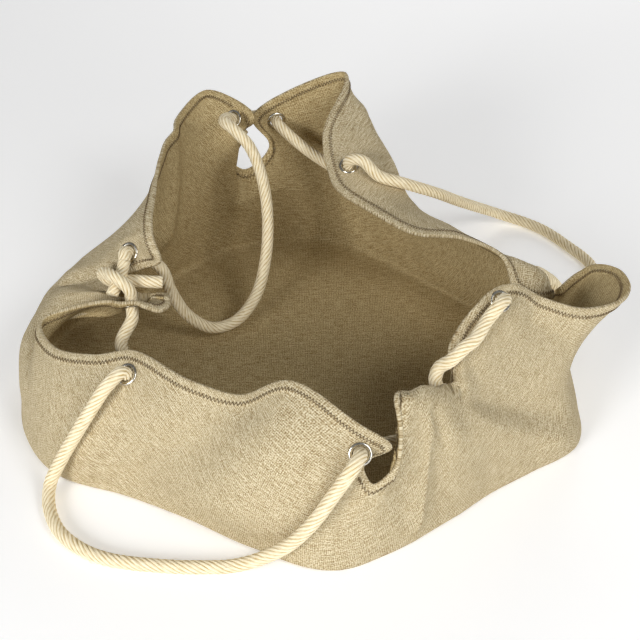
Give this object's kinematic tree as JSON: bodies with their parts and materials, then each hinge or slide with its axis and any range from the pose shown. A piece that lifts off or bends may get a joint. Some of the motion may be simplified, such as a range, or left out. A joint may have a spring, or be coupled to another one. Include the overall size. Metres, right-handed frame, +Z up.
{
  "type": "jute log bag",
  "caption": "Open bag gathered from one sheet of heavy jute canvas by a laid rope through nickel eyelets; the rope makes two carrying handles for firewood.",
  "frame": {"origin": "middle of the bag's own box, on the floor it rests on, leaving the rope out", "axes": "+X along the bag's longest way, towards its spout, +Z up, -Y towards the side with the front handle"},
  "size_m": [0.5909, 0.5368, 0.2001],
  "materials": {
    "jute_canvas": "coarse plain weave",
    "jute_rope": "fine yarns laid round each other",
    "nickel_plate": "bright plating"
  },
  "bodies": {
    "root": {"canvas_body": "jute_canvas", "eyelet_left_lip": "nickel_plate", "eyelet_front_left": "nickel_plate", "eyelet_front_middle": "nickel_plate", "eyelet_front_right": "nickel_plate", "eyelet_right_top": "nickel_plate", "eyelet_right_back": "nickel_plate", "eyelet_back_flap": "nickel_plate", "eyelet_back_right": "nickel_plate", "eyelet_back_left": "nickel_plate", "eyelet_left_flap": "nickel_plate", "rope": "jute_rope", "rope_knot": "jute_rope"}
  },
  "joints": []
}
